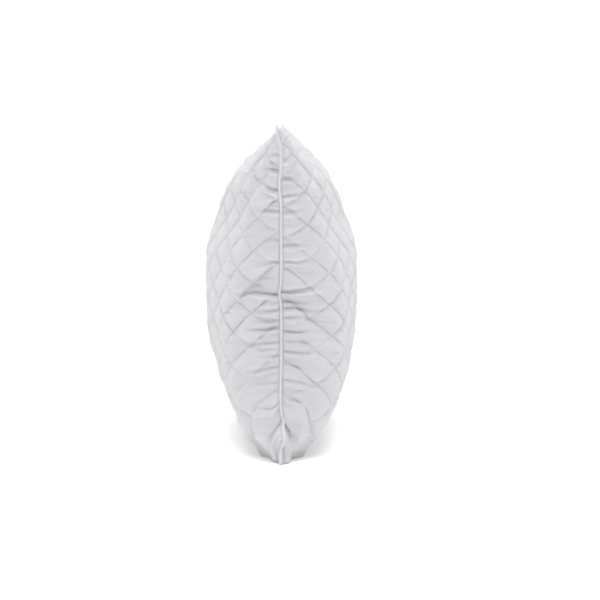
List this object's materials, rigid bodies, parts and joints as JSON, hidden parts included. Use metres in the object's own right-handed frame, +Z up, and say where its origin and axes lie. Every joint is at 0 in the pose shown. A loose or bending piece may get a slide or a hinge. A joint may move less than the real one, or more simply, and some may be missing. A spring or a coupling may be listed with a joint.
{
  "type": "bed pillow",
  "caption": "Full, diamond-quilted white cotton bed pillow with piped edges, standing on one long edge; filled shells, wadding, liner, piping and fill as separate pieces.",
  "frame": {"origin": "centre of the footprint at the height of the surface that the pillow stands on", "axes": "+X through the thickness, out of the front half; +Y along the long direction, from the end nearest the viewer to the far end; +Z up, along the short side"},
  "size_m": [0.24, 0.6326, 0.4784],
  "materials": {
    "cotton_face": "matte quilted cotton percale, white",
    "polyester_wadding": "lofty white polyester wadding",
    "nonwoven_backing": "thin white spunbond backing",
    "liner_cloth": "plain white liner cloth",
    "fibre_fill": "white hollow fibre",
    "piping_cotton": "white bias-cut cotton sateen",
    "cotton_cord": "undyed twisted cotton cord",
    "sewing_thread": "white polyester sewing thread"
  },
  "bodies": {
    "root": {"face_fabric_front": "cotton_face", "face_fabric_back": "cotton_face", "wadding_front": "polyester_wadding", "wadding_back": "polyester_wadding", "backing_front": "nonwoven_backing", "backing_back": "nonwoven_backing", "liner_front": "liner_cloth", "liner_back": "liner_cloth", "fibre_fill": "fibre_fill", "piping_strip": "piping_cotton", "piping_filler_cord": "cotton_cord", "overlock_thread": "sewing_thread", "closing_stitches": "sewing_thread"}
  },
  "joints": []
}
